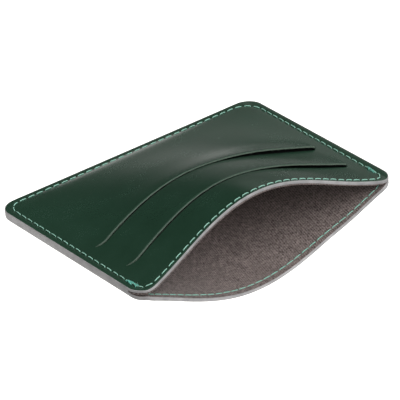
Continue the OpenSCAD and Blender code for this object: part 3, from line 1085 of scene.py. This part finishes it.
WARM = (1, 0.992, 0.965, 1)
SEEN = 1.6                        # the table and the room look this bright to the camera
FLOOR_HALF = 4.0                  # metres, as all distances of the studio are
FLOOR_DROP = 0.0001
FLOOR_ALBEDO = 0.07
FLOOR_GLOW = 0.24                 # what the table gives off towards the holder
FLOOR_NEAR, FLOOR_NEAR_END = 0.066, 0.086   # distances between which the near glow fades
NEAR_GLOW, FAR_GLOW, PANEL_GLOW = 4.3, 0.2, 0.16
FLOOR_LIT, FLOOR_UNLIT = 0.16, 0.24         # distances between which the lit table ends
PANEL_AZIMUTH = 105               # bearing of the white panel that stands to the right
PANEL_EDGE = (0.68, 0.74)
SKY_DIM, SKY_TOP, SKY_FRONT, SKY_PANEL = 0.02, 1.15, 0.95, 0.5
TOP_EDGE = (0.6, 0.85)            # heights, as the sine of the elevation
PANEL_TOP = (0.23, 0.29)
FRONT_AZIMUTH, FRONT_ELEVATION = -20, 12
FRONT_EDGE = (0.25, 0.8)


def direction(azimuth, elevation):
    """A unit vector, with angles in degrees and azimuth 0 in front of the mouth."""
    a, e = math.radians(azimuth), math.radians(elevation)
    return (math.sin(a) * math.cos(e), -math.cos(a) * math.cos(e), math.sin(e))


def facing(n, vector, azimuth, elevation, edge):
    """0 to 1 as a vector turns towards a direction. edge holds the cosines where it does."""
    towards = n.add("ShaderNodeVectorMath", {0: vector, 1: direction(azimuth, elevation)},
                    operation="DOT_PRODUCT").outputs["Value"]
    return n.spread(towards, *edge)


def floor():
    """The table. It glows for the holder's reflections and light, and looks plain to the camera."""
    corners = [(-FLOOR_HALF, -FLOOR_HALF), (FLOOR_HALF, -FLOOR_HALF), (FLOOR_HALF, FLOOR_HALF),
               (-FLOOR_HALF, FLOOR_HALF)]
    mesh = bpy.data.meshes.new("studio_floor")
    mesh.from_pydata([(x, y, -FLOOR_DROP) for x, y in corners], [], [(0, 1, 2, 3)])
    n = material_nodes("studio_floor")
    place = n.object_place()
    away = n.add("ShaderNodeVectorMath", {0: place}, operation="LENGTH").outputs["Value"]
    bearing = n.add("ShaderNodeVectorMath", {0: place}, operation="NORMALIZE").outputs["Vector"]
    near = n.spread(away, FLOOR_NEAR, FLOOR_NEAR_END, NEAR_GLOW, FAR_GLOW)
    pool = n.math("MULTIPLY", near, n.spread(away, FLOOR_LIT, FLOOR_UNLIT, 1, 0.05))
    beside = n.math("MULTIPLY", facing(n, bearing, PANEL_AZIMUTH, 0, PANEL_EDGE), PANEL_GLOW)
    glow = n.math("MULTIPLY", n.math("MAXIMUM", pool, beside), FLOOR_GLOW)
    seen = n.math("MULTIPLY", n.add("ShaderNodeLightPath").outputs["Is Camera Ray"], SEEN)
    mesh.materials.append(n.finish(Base_Color=(FLOOR_ALBEDO, FLOOR_ALBEDO, FLOOR_ALBEDO, 1),
                                   Roughness=1.0, Specular_IOR_Level=0.0, Emission_Color=WARM,
                                   Emission_Strength=n.math("MAXIMUM", glow, seen)))
    piece = bpy.data.objects.new("studio_floor", mesh)
    bpy.context.scene.collection.objects.link(piece)


def sky():
    """Soft light from overhead and in front and a white panel at the right, in a dim studio."""
    world = bpy.data.worlds.new("studio")
    bpy.context.scene.world = world
    n = Nodes(world)
    place = n.add("ShaderNodeTexCoord").outputs["Generated"]
    height = n.add("ShaderNodeSeparateXYZ", {0: place}).outputs["Z"]
    top = n.spread(height, *TOP_EDGE, SKY_DIM, SKY_TOP)
    front = n.math("MULTIPLY", facing(n, place, FRONT_AZIMUTH, FRONT_ELEVATION, FRONT_EDGE), SKY_FRONT)
    low = n.spread(height, *PANEL_TOP, SKY_PANEL, 0.0)
    panel = n.math("MULTIPLY", facing(n, place, PANEL_AZIMUTH, 0, PANEL_EDGE), low)
    strength = n.math("ADD", n.math("ADD", top, front), panel)
    seen = n.math("MULTIPLY", n.add("ShaderNodeLightPath").outputs["Is Camera Ray"], SEEN)
    background = n.tree.nodes["Background"]
    n.set(background, "Color", WARM)
    n.set(background, "Strength", n.math("MAXIMUM", strength, seen))


def softbox(name, towards, distance, size, power):
    """A square light that faces the object from a direction."""
    data = bpy.data.lights.new(name, "AREA")
    data.shape = "SQUARE"
    data.size = size
    data.energy = power
    light = bpy.data.objects.new(name, data)
    bpy.context.scene.collection.objects.link(light)
    towards = Vector(towards).normalized()
    light.location = cad_centre + towards * distance
    light.rotation_mode = "QUATERNION"
    light.rotation_quaternion = towards.to_track_quat("Z", "Y")


# ---- Camera, placed over the seam's plane so that it keeps its view of the front panel ----

CAMERA_AZIMUTH, CAMERA_ELEVATION, CAMERA_ROLL = -34.638, 29.808, -5.467   # degrees
CAMERA_DISTANCE = 764.017
CAMERA_AIM = Vector((-2.963, -42.745, 0))
CAMERA_LENS, SENSOR_WIDTH = 219.4, 36
CLIP_NEAR, CLIP_FAR = 0.01, 20


def camera():
    """The photograph's view."""
    back = Vector(direction(CAMERA_AZIMUTH, CAMERA_ELEVATION))
    right = (-back).cross(Vector((0, 0, 1))).normalized()
    up = right.cross(-back)
    roll = math.radians(CAMERA_ROLL)
    c, s = math.cos(roll), math.sin(roll)
    right, up = right * c + up * s, up * c - right * s
    place = laid(np.array(CAMERA_AIM + back * CAMERA_DISTANCE))
    turned = Matrix.Rotation(-REST_TILT, 3, "X") @ Matrix((right, up, back)).transposed()
    data = bpy.data.cameras.new("camera")
    data.sensor_width = SENSOR_WIDTH
    data.lens = CAMERA_LENS
    data.clip_start = CLIP_NEAR
    data.clip_end = CLIP_FAR
    view = bpy.data.objects.new("camera", data)
    bpy.context.scene.collection.objects.link(view)
    view.matrix_world = Matrix.Translation(place.tolist()) @ turned.to_4x4()
    bpy.context.scene.camera = view


floor()
sky()
softbox("front_softbox", towards=(0.3, -0.5, 0.9), distance=0.9, size=0.6, power=3.0)
camera()
bpy.context.scene.view_settings.view_transform = "Standard"
bpy.context.scene.view_settings.look = "None"
